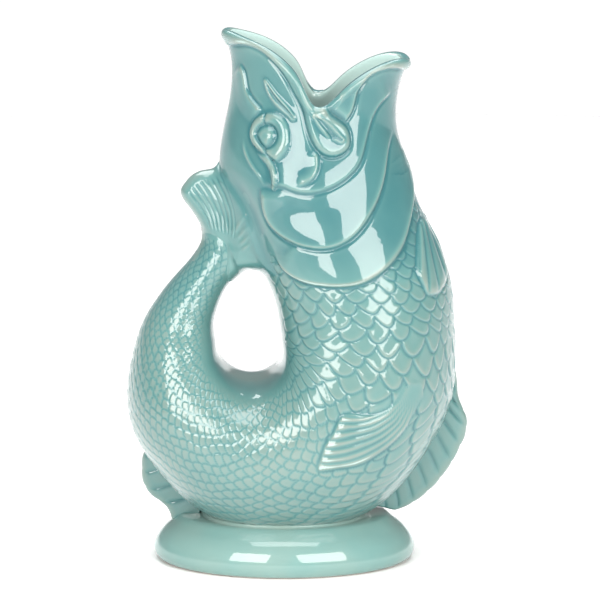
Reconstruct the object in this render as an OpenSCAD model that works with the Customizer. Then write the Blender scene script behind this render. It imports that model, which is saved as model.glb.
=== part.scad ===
// Gurgle jug: a standing fish whose hollow tail curls up to the neck as the handle.
// Frame: +Z up, +X towards the belly and the lower jaw, the table is at Z = 0.
// The body is one run of oval sections, from the open jaws down through the belly
// and up the tail. Every clay part takes its place from that run.

/* [Jug] */
// Height from the table to the tip of the upper jaw
jug_h = 250; // [225:1:275]
// Length from the back of the tail to the tip of the belly fin
jug_l = 160; // [145:1:176]
// Width across the belly
jug_w = 102; // [92:1:112]
// Thickness of the cast wall
wall = 4.5; // [3.5:0.1:6]

/* [Mouth] */
// Height of the rolled lip along the rim
lip_h = 5; // [3:0.1:7]
// How far the rolled lip stands out of the head
lip_out = 1.2; // [0.5:0.1:2]

/* [Foot] */
// Height of the oval foot
foot_h = 21.5; // [18:0.1:25]
// Length of the foot at its bulge
foot_l = 122.8; // [114:0.1:130]
// Width of the foot at its bulge
foot_w = 88.4; // [80:0.1:98]
// Depth of the recess under the foot
foot_recess_h = 4; // [2:0.1:6]
// Thickness of the foot's floor and its outer wall
foot_wall = 5.5; // [4:0.1:7]

/* [Relief] */
// How far the free edges of the belly's scales stand out
scale_t = 1; // [0.5:0.1:1.2]
// How far the nostrils, the brows and the folds under the eyes stand out of the head
fold_t = 0.9; // [0.5:0.1:1.5]
// How far the gill covers stand out of the body
gill_t = 1.5; // [1:0.1:2.5]
// How far the cheek plates stand out of the gill covers
cheek_t = 1.3; // [1:0.1:2.5]
// How far the lobes at the corners of the mouth stand out
lobe_t = 2.6; // [1.5:0.1:4]
// How far the eye's ring stands out of the head
eye_t = 1.6; // [1:0.1:2.5]
// How far the pupil stands out of the eye's ring
pupil_t = 0.9; // [0.5:0.1:1.5]
// How far the side fins stand out of the body
side_fin_t = 2.4; // [1.5:0.1:4]

/* [Fins] */
// Thickness of the belly fin and the rear fin at the body
keel_fin_t = 9; // [6:0.1:12]
// Thickness of those two fins at their edge
keel_fin_edge_t = 3.5; // [2:0.1:5]
// Thickness of the tail fin at its edge
tail_fin_edge_t = 6; // [4:0.1:9]
// Thickness of the tail fin and of the bridge at the neck
bridge_t = 28; // [22:0.1:32]

/* [Hidden] */

// Glaze colours: thin on the raised parts, deeper on the body.
glaze = "#8fbfbc";
glaze_raised = "#a3c6c1";
glaze_deep = "#7fb6b6";

left = 1;
right = -1;
overrun = 1;
around = 44;

// Sections of the body from the jaws to the tail's end. Each row has the inner point
// (x, z), the outer point (x, z), the width and how square the inner half is.
// x is a share of jug_l, z of jug_h and the width of jug_w.
section_shares = [
    [-0.217, 1.000, 0.341, 1.000, 0.53, 1.8],
    [-0.195, 0.960, 0.333, 0.960, 0.55, 1.8],
    [-0.189, 0.920, 0.305, 0.920, 0.56, 1.8],
    [-0.196, 0.872, 0.287, 0.872, 0.57, 1.8],
    [-0.211, 0.824, 0.286, 0.824, 0.61, 1.8],
    [-0.224, 0.776, 0.304, 0.776, 0.68, 1.8],
    [-0.225, 0.728, 0.325, 0.728, 0.74, 1.8],
    [-0.206, 0.680, 0.350, 0.680, 0.78, 1.8],
    [-0.178, 0.632, 0.385, 0.632, 0.82, 1.9],
    [-0.134, 0.584, 0.420, 0.584, 0.85, 2.1],
    [-0.091, 0.536, 0.445, 0.536, 0.88, 2.4],
    [-0.064, 0.488, 0.456, 0.488, 0.91, 2.6],
    [-0.053, 0.448, 0.459, 0.448, 0.93, 2.8],
    [-0.049, 0.427, 0.453, 0.311, 0.97, 2.8],
    [-0.046, 0.407, 0.385, 0.214, 0.99, 2.8],
    [-0.052, 0.383, 0.282, 0.128, 1.00, 2.8],
    [-0.075, 0.362, 0.137, 0.071, 0.99, 2.8],
    [-0.110, 0.349, -0.029, 0.054, 0.97, 2.8],
    [-0.151, 0.348, -0.190, 0.065, 0.94, 2.8],
    [-0.189, 0.358, -0.328, 0.113, 0.89, 2.8],
    [-0.215, 0.377, -0.428, 0.183, 0.81, 2.7],
    [-0.230, 0.398, -0.491, 0.258, 0.72, 2.6],
    [-0.235, 0.419, -0.501, 0.339, 0.61, 2.5],
    [-0.239, 0.437, -0.478, 0.410, 0.52, 2.4],
    [-0.239, 0.454, -0.455, 0.452, 0.45, 2.3],
    [-0.231, 0.476, -0.412, 0.498, 0.40, 2.2],
    [-0.216, 0.502, -0.366, 0.536, 0.35, 2.1],
    [-0.188, 0.530, -0.316, 0.572, 0.31, 2.0],
    [-0.150, 0.554, -0.281, 0.610, 0.28, 2.0]];
// The last row that lies level
last_level = 12;

// Height of the rim, as a share of jug_h, by the angle from the lower jaw's tip
rim_shares = [[0, 0.944], [20, 0.950], [36, 0.950], [52, 0.938], [63, 0.920], [72, 0.898],
    [79, 0.878], [86, 0.870], [92, 0.876], [97, 0.890], [103, 0.914], [114, 0.946],
    [128, 0.973], [150, 0.994], [165, 1.000], [180, 0.998]];

// Where the head is joined to the belly, and how many steps each length has
seam_share = 0.6;
head_steps = 12;
step_rows = 0.55;
belly_steps = 23;
tail_steps = 13;
tail_plug_steps = 2;

// The scales start below the gill covers. Each row of scales ends in a zigzag, and the
// surface falls back right behind it. Both are shares of the step from ring to ring.
smooth_steps = 2;
zigzag_share = 0.22;
fall_share = 0.09;

// The foot's profile: height as a share of foot_h, reach as a share of its half length
foot_profile_shares = [[0, 0.935], [0.05, 0.97], [0.12, 0.992], [0.26, 1], [0.42, 0.984],
    [0.60, 0.94], [0.77, 0.885], [0.91, 0.82], [1, 0.745]];
foot_centre_share = -0.0388;
foot_well_share = 0.60;
recess_share = 0.8;
foot_around = 56;

// Outlines in shares of jug_l and jug_h, seen from the side
gill_cover_shares = [[-0.067, 0.597], [-0.019, 0.565], [0.027, 0.554], [0.109, 0.551],
    [0.174, 0.556], [0.225, 0.570], [0.292, 0.605], [0.326, 0.666], [0.322, 0.705],
    [0.296, 0.755], [0.255, 0.800], [0.205, 0.825], [0.165, 0.790], [0.150, 0.766],
    [0.050, 0.760], [-0.045, 0.745], [-0.115, 0.715], [-0.145, 0.690], [-0.115, 0.640]];
cheek_plate_shares = [[-0.104, 0.725], [-0.093, 0.672], [-0.064, 0.647], [-0.027, 0.632],
    [0.027, 0.621], [0.069, 0.620], [0.138, 0.627], [0.200, 0.652], [0.226, 0.702],
    [0.250, 0.745], [0.262, 0.775], [0.215, 0.812], [0.178, 0.786], [0.155, 0.757],
    [0.050, 0.752], [-0.045, 0.737]];
jaw_lobe_shares = [[0.016, 0.846], [0.028, 0.828], [0.040, 0.810], [0.056, 0.794],
    [0.078, 0.786], [0.115, 0.784], [0.143, 0.797], [0.147, 0.818], [0.126, 0.840],
    [0.098, 0.846], [0.056, 0.847]];
pelvic_fin_shares = [[0.350, 0.655], [0.344, 0.631], [0.342, 0.602], [0.343, 0.566],
    [0.358, 0.546], [0.373, 0.528], [0.400, 0.530], [0.412, 0.545], [0.405, 0.575],
    [0.390, 0.605], [0.368, 0.640]];
pectoral_fin_shares = [[0.338, 0.369], [0.295, 0.348], [0.246, 0.323], [0.126, 0.317],
    [0.078, 0.263], [0.059, 0.216], [0.169, 0.222], [0.253, 0.250], [0.313, 0.290],
    [0.352, 0.350]];
nostril_shares = [[-0.098, 0.921], [-0.088, 0.922], [-0.072, 0.901], [-0.045, 0.881],
    [-0.014, 0.866], [-0.010, 0.858], [-0.020, 0.852], [-0.052, 0.865], [-0.082, 0.888]];
brow_shares = [[-0.172, 0.944], [-0.161, 0.946], [-0.150, 0.922], [-0.140, 0.898],
    [-0.122, 0.880], [-0.104, 0.870], [-0.112, 0.864], [-0.135, 0.872], [-0.157, 0.890]];
tear_shares = [[-0.134, 0.794], [-0.126, 0.780], [-0.111, 0.768], [-0.087, 0.764],
    [-0.066, 0.758], [-0.070, 0.753], [-0.094, 0.752], [-0.117, 0.758], [-0.134, 0.772],
    [-0.142, 0.790]];
eye_centre_share = [-0.072, 0.816];
eye_reach_share = 0.056;
eye_height_share = 0.047;
pupil_size_share = 0.46;

belly_fin_shares = [[0.461, 0.336], [0.475, 0.302], [0.490, 0.282], [0.500, 0.262],
    [0.496, 0.242], [0.4875, 0.224], [0.474, 0.206], [0.459, 0.186], [0.439, 0.167],
    [0.4175, 0.148], [0.389, 0.128], [0.355, 0.110], [0.309, 0.098], [0.250, 0.160],
    [0.350, 0.290]];
rear_fin_shares = [[-0.460, 0.222], [-0.4575, 0.184], [-0.459, 0.164], [-0.456, 0.146],
    [-0.452, 0.128], [-0.416, 0.110], [-0.3875, 0.092], [-0.350, 0.092], [-0.280, 0.130],
    [-0.375, 0.200]];
tail_fin_shares = [[-0.280, 0.628], [-0.286, 0.644], [-0.303, 0.663], [-0.329, 0.682],
    [-0.338, 0.700], [-0.320, 0.720], [-0.297, 0.730], [-0.271, 0.738], [-0.241, 0.745],
    [-0.222, 0.756], [-0.120, 0.740], [-0.080, 0.660], [-0.100, 0.634]];
bridge_shares = [[-0.281, 0.610], [-0.280, 0.628], [-0.100, 0.634], [-0.050, 0.600],
    [-0.060, 0.548], [-0.090, 0.546], [-0.128, 0.549], [-0.150, 0.554]];

// Smooth curve through rows b and c
function blend(a, b, c, d, f) =
    b + f / 2 * (c - a + f * (2 * a - 5 * b + 4 * c - d + f * (3 * (b - c) + d - a)));
function row(i) = section_shares[min(max(i, 0), len(section_shares) - 1)];
function section(u) =
    let (i = min(floor(u), len(section_shares) - 2))
    blend(row(i - 1), row(i), row(i + 1), row(i + 2), u - i);
level_rows = [for (i = [last_level:-1:0]) [section_shares[i][1], i]];
function level_section(height_share) = section(lookup(height_share, level_rows));

// A point of a section, at angle a from its outer point, grown outwards by grow.
// The outer half is an ellipse.
function bent(v, square) = sign(v) * pow(abs(v), 2 / square);
function section_point(s, a, grow) =
    let (outer = [s[2] * jug_l, s[3] * jug_h], inner = [s[0] * jug_l, s[1] * jug_h],
        reach = (outer - inner) / 2, middle = (outer + inner) / 2,
        square = cos(a) < 0 ? s[5] : 2,
        p = middle + reach * (1 + grow / norm(reach)) * bent(cos(a), square))
    [p[0], (s[4] * jug_w / 2 + grow) * bent(sin(a), square), p[1]];

// Ring k of the body: the head's rings rise to the rim, the others lie across the run
seam_row = lookup(seam_share, level_rows);
function rim_share(a) = lookup(a > 180 ? 360 - a : a, rim_shares) - lip_h / jug_h;
function head_point(k, a, grow) =
    let (high = rim_share(a), z_share = high + (seam_share - high) * k / head_steps)
    section_point(level_section(z_share), a, grow);
function on_foot(p, floor_z) = [p[0], p[1], max(p[2], floor_z)];
function body_point(k, a, grow) =
    k <= head_steps
        ? head_point(k, a, grow)
        : on_foot(
            section_point(section(min(seam_row + (k - head_steps) * step_rows,
                len(section_shares) - 1)), a, grow),
            foot_h - min(grow, 0));

belly_end = head_steps + belly_steps;
tail_end = belly_end + tail_steps;

// Rings of the outer surface carry the scales, the other rings are smooth
function scaly(k) = k > head_steps + smooth_steps && k < belly_end;
function zigzag(k, j) = zigzag_share * ((floor(k) + j) % 2 == 0 ? 1 : -1);
function scale_rise(k, a) = k == floor(k) ? scale_t * abs(cos(a / 2)) : 0;
function ring(k, grow) = [for (j = [0:around - 1])
    let (a = 360 * j / around)
    grow == 0 && scaly(k)
        ? body_point(k + zigzag(k, j), a, scale_rise(k, a))
        : body_point(k, a, grow)];
function rings(first, last, grow) = [for (k = [first:last]) each
    grow == 0 && scaly(k) && k < last
        ? [ring(k, grow), ring(k + fall_share, grow)]
        : [ring(k, grow)]];

// Faces between one ring and the next, for rings of n points
function band(i, next, n) = [for (j = [0:n - 1]) each let (m = (j + 1) % n)
    [[i * n + j, i * n + m, next * n + m], [i * n + j, next * n + m, next * n + j]]];
function flat_list(rings) = [for (r = rings) each r];
// A solid with a flat face on its first and on its last ring
module closed_run(rings, n) {
    last = len(rings) - 1;
    polyhedron(flat_list(rings), concat(
        [for (i = [0:last - 1]) each band(i, i + 1, n)],
        [[for (j = [n - 1:-1:0]) j], [for (j = [0:n - 1]) last * n + j]]));
}
// A tube wall: its rings lead back to the first one
module sleeve(rings, n) {
    count = len(rings);
    polyhedron(flat_list(rings), [for (i = [0:count - 1]) each band(i, (i + 1) % count, n)]);
}
module body_wall(first, last) {
    sleeve(concat(rings(first, last, 0), [for (k = [last:-1:first]) ring(k, -wall)]), around);
}
module body_solid(first, last, grow) {
    closed_run(rings(first, last, grow), around);
}

// An outline in shares, as points in millimetres
function outline(shares) = [for (p = shares) [p[0] * jug_l, p[1] * jug_h]];
// The same outline standing up, from y0 to y1
module upright(points, y0, y1) {
    translate([0, y1, 0]) rotate([90, 0, 0]) linear_extrude(y1 - y0) polygon(points);
}
module beside(points, side) {
    if (side == left) upright(points, overrun, jug_w);
    else upright(points, -jug_w, -overrun);
}
// Raised relief on one side of the body, between two heights above its surface
module relief(outlines, low, high, first, last, side) {
    difference() {
        intersection() {
            body_solid(first, last, high);
            for (points = outlines) beside(points, side);
        }
        body_solid(first, last, low);
    }
}

module head_shell() {
    color(glaze) {
        body_wall(0, head_steps);
        for (side = [left, right])
            relief([for (shares = [nostril_shares, brow_shares, tear_shares]) outline(shares)],
                -wall / 2, fold_t, 0, head_steps, side);
    }
}
module belly_shell() {
    color(glaze) difference() {
        body_wall(head_steps, belly_end);
        translate([foot_centre, 0, 0]) scale([1, foot_w / foot_l, 1])
            cylinder(r = well_r, h = foot_h + wall + overrun, $fn = foot_around);
    }
}
module tail_handle() {
    color(glaze) closed_run(concat(
        [for (k = [tail_end - tail_plug_steps:-1:belly_end]) ring(k, -wall)],
        [for (k = [belly_end:tail_end]) ring(k, 0)]), around);
}

foot_centre = foot_centre_share * jug_l;
well_r = foot_well_share * foot_l / 2;
function oval(reach, z) = [for (j = [0:foot_around - 1])
    let (a = 360 * j / foot_around)
    [foot_centre + reach * cos(a), reach * foot_w / foot_l * sin(a), z]];
module foot() {
    top_reach = foot_profile_shares[len(foot_profile_shares) - 1][1] * foot_l / 2;
    floor_top = foot_recess_h + foot_wall;
    color(glaze_raised) closed_run(concat(
        [oval(min(well_r, top_reach - foot_wall), floor_top), oval(well_r, foot_h)],
        [for (i = [len(foot_profile_shares) - 1:-1:0])
            oval(foot_profile_shares[i][1] * foot_l / 2, foot_profile_shares[i][0] * foot_h)],
        [oval(recess_share * foot_l / 2, 0),
            oval(recess_share * foot_l / 2 - foot_recess_h, foot_recess_h)]), foot_around);
}

// The lip follows the head's top ring and rolls outwards
lip_section_shares = [[0, 0], [0.75, 0.12], [1, 0.42], [0.9, 0.75], [0.35, 1]];
module mouth_lip() {
    function lip_ring(out, up) = [for (j = [0:around - 1])
        let (p = head_point(0, 360 * j / around, out)) [p[0], p[1], p[2] + up]];
    color(glaze_raised) sleeve(concat(
        [lip_ring(-wall, 0), lip_ring(-wall, lip_h * lip_section_shares[3][1]),
            lip_ring(-wall / 2, lip_h)],
        [for (i = [len(lip_section_shares) - 1:-1:0])
            lip_ring(lip_out * lip_section_shares[i][0], lip_h * lip_section_shares[i][1])]),
        around);
}

module tail_bridge() {
    color(glaze) difference() {
        upright(outline(bridge_shares), -bridge_t / 2, bridge_t / 2);
        body_solid(head_steps / 2, belly_end / 2, 0);
    }
}
// A slab that thins from the neck towards the tail fin's edge
module thinning(x_thick, x_thin, thick, thin, z0, z1) {
    translate([0, 0, z0]) linear_extrude(z1 - z0) polygon([[x_thick, -thick / 2],
        [x_thick, thick / 2], [x_thin, thin / 2], [x_thin, -thin / 2]]);
}
module tail_fin() {
    points = outline(tail_fin_shares);
    color(glaze_raised) difference() {
        intersection() {
            upright(points, -jug_w / 2, jug_w / 2);
            thinning(points[len(points) - 2][0], points[4][0] - overrun, bridge_t,
                tail_fin_edge_t, points[0][1] - overrun, jug_h);
        }
        body_solid(head_steps / 2, belly_end / 2, 0);
    }
}
module keel_fin(shares, root_x, edge_x) {
    color(glaze_raised) difference() {
        intersection() {
            upright(outline(shares), -jug_w / 2, jug_w / 2);
            thinning(root_x, edge_x, keel_fin_t, keel_fin_edge_t, foot_h, jug_h / 2);
        }
        body_solid(head_steps, belly_end, 0);
    }
}
module belly_fin() {
    keel_fin(belly_fin_shares, belly_fin_shares[13][0] * jug_l,
        belly_fin_shares[3][0] * jug_l + overrun);
}
module rear_fin() {
    keel_fin(rear_fin_shares, rear_fin_shares[8][0] * jug_l,
        rear_fin_shares[0][0] * jug_l - overrun);
}

module eye(side) {
    function eye_outline(size) = [for (a = [0:15:345])
        [(eye_centre_share[0] + size * eye_reach_share * cos(a)) * jug_l,
            (eye_centre_share[1] + size * eye_height_share * sin(a)) * jug_h]];
    color(glaze_raised) {
        relief([eye_outline(1)], 0, eye_t, 0, head_steps, side);
        relief([eye_outline(pupil_size_share)], eye_t, eye_t + pupil_t, 0, head_steps, side);
    }
}
module jaw_lobe(side) {
    color(glaze_raised)
        relief([outline(jaw_lobe_shares)], 0, lobe_t, 0, head_steps, side);
}
module gill_cover(side) {
    color(glaze) relief([outline(gill_cover_shares)], 0, gill_t, 0, belly_end / 2, side);
}
module cheek_plate(side) {
    color(glaze)
        relief([outline(cheek_plate_shares)], gill_t, gill_t + cheek_t, 0, belly_end / 2, side);
}
module pelvic_fin(side) {
    color(glaze_deep)
        relief([outline(pelvic_fin_shares)], 0, side_fin_t, head_steps / 2, belly_end / 2, side);
}
module pectoral_fin(side) {
    color(glaze_deep)
        relief([outline(pectoral_fin_shares)], 0, side_fin_t, head_steps, belly_end, side);
}

head_shell();
belly_shell();
tail_handle();
foot();
mouth_lip();
tail_bridge();
tail_fin();
belly_fin();
rear_fin();
eye(left);  // left_eye
eye(right);  // right_eye
jaw_lobe(left);  // left_jaw_lobe
jaw_lobe(right);  // right_jaw_lobe
cheek_plate(left);  // left_cheek_plate
cheek_plate(right);  // right_cheek_plate
gill_cover(left);  // left_gill_cover
gill_cover(right);  // right_gill_cover
pelvic_fin(left);  // left_pelvic_fin
pelvic_fin(right);  // right_pelvic_fin
pectoral_fin(left);  // left_pectoral_fin
pectoral_fin(right);  // right_pectoral_fin
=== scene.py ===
import math

import bpy
import numpy as np
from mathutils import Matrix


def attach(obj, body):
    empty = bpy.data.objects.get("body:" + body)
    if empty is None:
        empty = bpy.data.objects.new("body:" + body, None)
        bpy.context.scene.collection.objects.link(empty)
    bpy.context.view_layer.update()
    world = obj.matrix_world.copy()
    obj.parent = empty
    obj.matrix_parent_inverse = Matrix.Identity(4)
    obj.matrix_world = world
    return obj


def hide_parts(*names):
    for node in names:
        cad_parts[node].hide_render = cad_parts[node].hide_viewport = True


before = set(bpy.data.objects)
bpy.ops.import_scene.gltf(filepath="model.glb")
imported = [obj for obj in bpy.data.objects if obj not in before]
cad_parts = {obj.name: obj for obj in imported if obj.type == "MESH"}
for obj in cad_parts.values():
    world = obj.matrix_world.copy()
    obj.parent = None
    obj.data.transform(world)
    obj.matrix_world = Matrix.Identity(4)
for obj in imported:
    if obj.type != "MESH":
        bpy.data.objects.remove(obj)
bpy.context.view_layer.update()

# All shapes are worked out in millimetres and stored in metres.
MM = 0.001
JUG_L, JUG_H, JUG_W = 160.0, 250.0, 102.0
WALL = 4.5
LIP_H = 5.0
FOOT_H, FOOT_L, FOOT_W = 21.5, 122.8, 88.4
FOOT_CENTRE = -6.2
SEAM_Z = 150.0

# The run of sections, as in the part: inner point (x, z), outer point (x, z), width and
# inner squareness, in shares of the jug. The last three lie inside the neck.
SECTION_SHARES = [
    [-0.217, 1.000, 0.341, 1.000, 0.53, 1.8],
    [-0.195, 0.960, 0.333, 0.960, 0.55, 1.8],
    [-0.189, 0.920, 0.305, 0.920, 0.56, 1.8],
    [-0.196, 0.872, 0.287, 0.872, 0.57, 1.8],
    [-0.211, 0.824, 0.286, 0.824, 0.61, 1.8],
    [-0.224, 0.776, 0.304, 0.776, 0.68, 1.8],
    [-0.225, 0.728, 0.325, 0.728, 0.74, 1.8],
    [-0.206, 0.680, 0.350, 0.680, 0.78, 1.8],
    [-0.178, 0.632, 0.385, 0.632, 0.82, 1.9],
    [-0.134, 0.584, 0.420, 0.584, 0.85, 2.1],
    [-0.091, 0.536, 0.445, 0.536, 0.88, 2.4],
    [-0.064, 0.488, 0.456, 0.488, 0.91, 2.6],
    [-0.053, 0.448, 0.459, 0.448, 0.93, 2.8],
    [-0.049, 0.427, 0.453, 0.311, 0.97, 2.8],
    [-0.046, 0.407, 0.385, 0.214, 0.99, 2.8],
    [-0.052, 0.383, 0.282, 0.128, 1.00, 2.8],
    [-0.075, 0.362, 0.137, 0.071, 0.99, 2.8],
    [-0.110, 0.349, -0.029, 0.054, 0.97, 2.8],
    [-0.151, 0.348, -0.190, 0.065, 0.94, 2.8],
    [-0.189, 0.358, -0.328, 0.113, 0.89, 2.8],
    [-0.215, 0.377, -0.428, 0.183, 0.81, 2.7],
    [-0.230, 0.398, -0.491, 0.258, 0.72, 2.6],
    [-0.235, 0.419, -0.501, 0.339, 0.61, 2.5],
    [-0.239, 0.437, -0.478, 0.410, 0.52, 2.4],
    [-0.239, 0.454, -0.455, 0.452, 0.45, 2.3],
    [-0.231, 0.476, -0.412, 0.498, 0.40, 2.2],
    [-0.216, 0.502, -0.366, 0.536, 0.35, 2.1],
    [-0.188, 0.530, -0.316, 0.572, 0.31, 2.0],
    [-0.150, 0.554, -0.281, 0.610, 0.28, 2.0],
    [-0.122, 0.588, -0.277, 0.634, 0.26, 2.0],
    [-0.119, 0.624, -0.264, 0.658, 0.18, 2.0],
    [-0.134, 0.654, -0.256, 0.680, 0.10, 2.0]]
LAST_LEVEL = 12
BELLY_SPLIT, BELLY_END, TAIL_END = 14.3, 21.3, 28
RIM_SHARES = [[0, 0.944], [20, 0.950], [36, 0.950], [52, 0.938], [63, 0.920], [72, 0.898],
              [79, 0.878], [86, 0.870], [92, 0.876], [97, 0.890], [103, 0.914], [114, 0.946],
              [128, 0.973], [150, 0.994], [165, 1.000], [180, 0.998]]
AROUND = 400

# Lines of the modelling on one side of the fish, (x, z) seen from the side
UPPER_LIP = [(-31, 243.8), (-23.6, 244.9), (-17.8, 243.2), (-11.4, 238.4), (-5.6, 231.7),
             (-1.2, 224.2), (2.6, 216.7), (4.5, 209.2), (6.4, 203.6), (9.6, 198.6),
             (14.1, 196.1), (19.1, 196.6), (23, 200.1), (23.3, 204.4), (21, 209.5),
             (15.9, 213.6), (12.4, 217.8), (10.2, 221.2)]
LOWER_LIP = [(47.9, 233.4), (43.6, 234.5), (39, 234.1), (34.5, 232.5), (30.6, 229.5),
             (27.4, 225.1), (25.9, 220.1), (24.6, 215.7), (22.4, 212), (20.7, 209.5)]
LOBE = UPPER_LIP[6:16] + [(11.2, 217.2), (6, 219)]
LOBE_RIDGE = [(7.6, 214.6), (12, 209.4), (16.3, 205), (20.4, 201.6)]
JAW_EDGE = [(-16.2, 183.2), (-12.5, 182), (-7.6, 182.4), (-2.5, 180.9), (5.2, 179.9),
            (14.1, 181.9), (21.7, 186.1), (27.5, 191.8), (30.4, 199.6), (32.6, 208.2),
            (36.5, 216.9), (43.1, 222.8)]
CHEEK_EDGE = [(-16.6, 181.3), (-16.2, 175), (-14.8, 167.9), (-10.2, 161.8), (-4.3, 158),
              (4.3, 155.4), (11.1, 154.9), (20, 157.0), (26.7, 161.6), (31.4, 167.2),
              (35.8, 174.6), (38.9, 183.3), (40.5, 192.3), (41.6, 198.6), (44.2, 205.4)]
GILL_EDGE = [(-12.1, 151.6), (-8.7, 146.3), (-3, 141.6), (4.3, 138.8), (11, 137.9), (17.5, 137.7),
             (27.9, 138.9), (36, 142.5), (42.5, 147.6), (47.6, 154.5), (51.3, 165), (52.6, 175.8),
             (49.9, 188.3), (44.4, 205.8)]
NOSTRIL = [(-14.6, 229), (-12.2, 224.4), (-8, 219.1), (-3.9, 215.1), (-1.2, 211.8)]
BROW = [(-26.3, 235.9), (-24.2, 230.7), (-23, 224.1), (-20.7, 219.9), (-16, 215.4)]
FINE_RIDGE = [(-25, 203), (-23.9, 196.5), (-20.4, 190), (-16.6, 185), (-14, 180.2)]
TEAR = [(-19.8, 205.3), (-18.9, 200.2), (-16.2, 196.5), (-13, 193.1), (-10.9, 188.8),
        (-10.2, 184.4), (-11.1, 180.8)]
CHEEK_FOLD = [(8.9, 199), (9.5, 192.8), (7.9, 187.4), (3.8, 183.9), (-0.7, 182.5)]
EYE = [(-21.4, 202.5), (-21.2, 207.4), (-18.9, 211.8), (-14.8, 214.5), (-9.8, 214.9),
       (-5.7, 212.5), (-3.2, 207.2), (-3, 201.9), (-5.2, 196.5), (-9.8, 193.0), (-13.8, 195.2),
       (-18.4, 198.3)]
PUPIL = [(-18.5, 204.5), (-17.1, 207.7), (-13.9, 209.4), (-10.7, 208.1), (-9.3, 204.7),
         (-10.7, 201.1), (-13.9, 198.7), (-17.1, 201.1)]
NECK_LINE = [(-34.6, 189.3), (-32.6, 185.1), (-29.2, 180.4), (-25.9, 176), (-22.6, 170.6),
             (-19.8, 164.3), (-17.6, 157.5), (-15.2, 151.6), (-12.7, 147.3), (-9.5, 141),
             (-7, 134)]
NECK_DENT, NECK_DENT_HALF = 1.7, 5.5
EYE_SLITS = [[(-14.3, 215.4), (-15, 209.4)], [(-14.6, 198.6), (-13.4, 195.7), (-9.7, 192.6)]]
PELVIC_FIN = [(56.9, 163.9), (55, 157.8), (54.7, 150.4), (54.8, 141.6), (57.3, 136.4),
              (59.7, 132.1), (65, 131.7), (67.3, 133.4), (69.3, 137), (68.4, 141), (66, 147.9),
              (61.5, 157)]
PECTORAL_FIN = [(54.1, 92.2), (47.2, 87.1), (39.3, 80.7), (30, 79.6), (20.2, 79.2),
                (16.5, 72), (12.5, 65.7), (10.6, 60), (9.4, 54), (18, 54.2), (27.1, 55.4),
                (34, 58.4), (40.5, 62.5), (45.8, 67), (50.1, 72.6), (54, 80), (57, 88.5)]
# The body's scales end along this line where the tail turns into its fin
SCALES_END = [(-45.2, 158), (-40, 156.6), (-34, 155.6), (-29.5, 152.5), (-28, 147), (-29, 141),
              (-32, 133), (-35, 125)]


def ease(low, high, v):
    """0 at low, 1 at high and smooth between."""
    x = np.clip((v - low) / (high - low), 0, 1)
    return x * x * (3 - 2 * x)


def peak(v, width):
    """1 where v is 0, falling away over width."""
    return np.exp(-(v / width) ** 2)


def spline(knots, rows):
    """A curve with continuous curvature through rows, as a function of the knots' variable."""
    knots, rows = np.asarray(knots, float), np.asarray(rows, float)
    step = np.diff(knots)
    matrix, right = np.eye(len(knots)), np.zeros_like(rows)
    for i in range(1, len(knots) - 1):
        matrix[i, i - 1:i + 2] = step[i - 1], 2 * (step[i - 1] + step[i]), step[i]
        right[i] = 6 * ((rows[i + 1] - rows[i]) / step[i] - (rows[i] - rows[i - 1]) / step[i - 1])
    bend = np.linalg.solve(matrix, right)

    def at(v):
        v = np.clip(v, knots[0], knots[-1])
        i = np.clip(np.searchsorted(knots, v, side="right") - 1, 0, len(knots) - 2)
        b, h = (v - knots[i])[..., None], step[i][..., None]
        a = h - b
        return ((bend[i] * a ** 3 + bend[i + 1] * b ** 3) / (6 * h)
                + (rows[i] / h - bend[i] * h / 6) * a + (rows[i + 1] / h - bend[i + 1] * h / 6) * b)

    return at


def way_along(points):
    """The length of a line up to each of its points."""
    return np.concatenate([[0], np.cumsum(np.linalg.norm(np.diff(points, axis=0), axis=1))])


def smooth_line(points, count, closed=False):
    """Evenly spaced points of a smooth curve through the given ones."""
    points = np.asarray(points, float)
    if closed:
        points = np.concatenate([points[-3:], points, points[:4]])
    knots = way_along(points)
    curve = spline(knots, points)
    if closed:
        return curve(np.linspace(knots[3], knots[-4], count + 1))[:-1]
    return curve(np.linspace(0, knots[-1], count))


# The body's sections as smooth functions of the way along the run
sections = np.array(SECTION_SHARES) * [JUG_L, JUG_H, JUG_L, JUG_H, JUG_W / 2, 1]
row_way = way_along((sections[:, 0:2] + sections[:, 2:4]) / 2)
section_at = spline(row_way, sections)


def way_of_row(row):
    return np.interp(row, np.arange(len(row_way)), row_way)


level_way = np.linspace(0, row_way[LAST_LEVEL], 400)
level_z = section_at(level_way)[:, [1, 3]].mean(1)


def way_of_height(z):
    return np.interp(z, level_z[::-1], level_way[::-1])


def level_section(z):
    found = section_at(way_of_height(z))
    found[..., 1] = found[..., 3] = z
    return found


def bent(v, square):
    return np.sign(v) * np.abs(v) ** (2 / square)


def on_section(section, angle, grow=0.0):
    """Points of sections at an angle from the outer point, grown outwards by grow."""
    inner, outer = section[..., 0:2], section[..., 2:4]
    reach, middle = (outer - inner) / 2, (outer + inner) / 2
    square = np.where(np.cos(angle) < 0, section[..., 5], 2.0)
    a = bent(np.cos(angle), square) * (1 + grow / np.linalg.norm(reach, axis=-1))
    b = bent(np.sin(angle), square)
    return np.stack([middle[..., 0] + reach[..., 0] * a, (section[..., 4] + grow) * b,
                     middle[..., 1] + reach[..., 1] * a], -1)


def even_angles(section):
    """Angles that are evenly spaced along a section's outline, and half the outline's length."""
    dense = np.linspace(0, math.pi, 1441)
    length = way_along(on_section(section[None, :], dense))
    half = np.interp(np.linspace(0, 1, AROUND // 2 + 1), length / length[-1], dense)
    return np.concatenate([half, 2 * math.pi - half[-2:0:-1]]), length[-1]


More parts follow.
